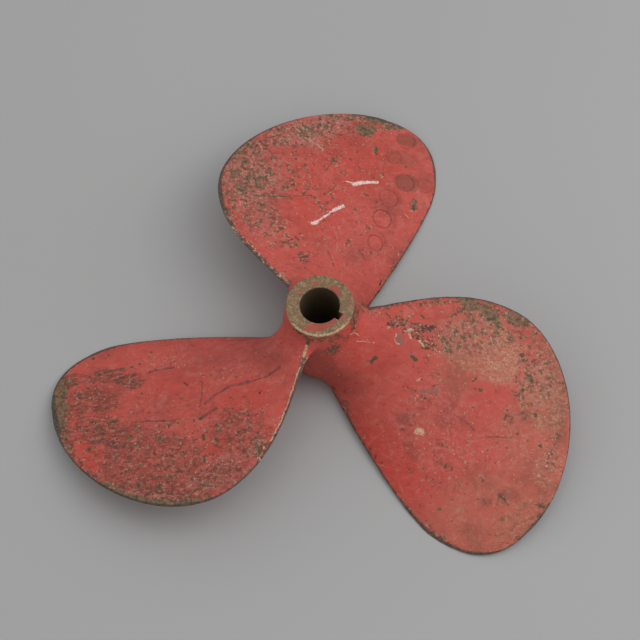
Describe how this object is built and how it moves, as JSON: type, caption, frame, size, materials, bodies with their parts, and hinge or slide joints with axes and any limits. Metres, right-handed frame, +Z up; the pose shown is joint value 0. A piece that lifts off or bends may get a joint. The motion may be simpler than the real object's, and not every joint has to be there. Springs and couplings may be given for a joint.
{
  "type": "ship propeller",
  "caption": "Right-handed fixed-pitch ship propeller cast in one piece: broad raked blades on a short hub with a tapered, keyed shaft bore.",
  "frame": {"origin": "on the shaft axis, at the height of the casting's centre of mass", "axes": "+Z up the shaft axis, towards the hub's wide-bored end that shows in the picture; +X along the keyway, 3 degrees counter-clockwise of the first blade's reference line"},
  "size_m": [0.4873, 0.5149, 0.1068],
  "materials": {
    "painted_bronze": "matt red paint over cast bronze, worn through to olive and khaki metal in patches, bare on the hub's upper face"
  },
  "bodies": {
    "root": {"propeller_casting": "painted_bronze"}
  },
  "joints": []
}
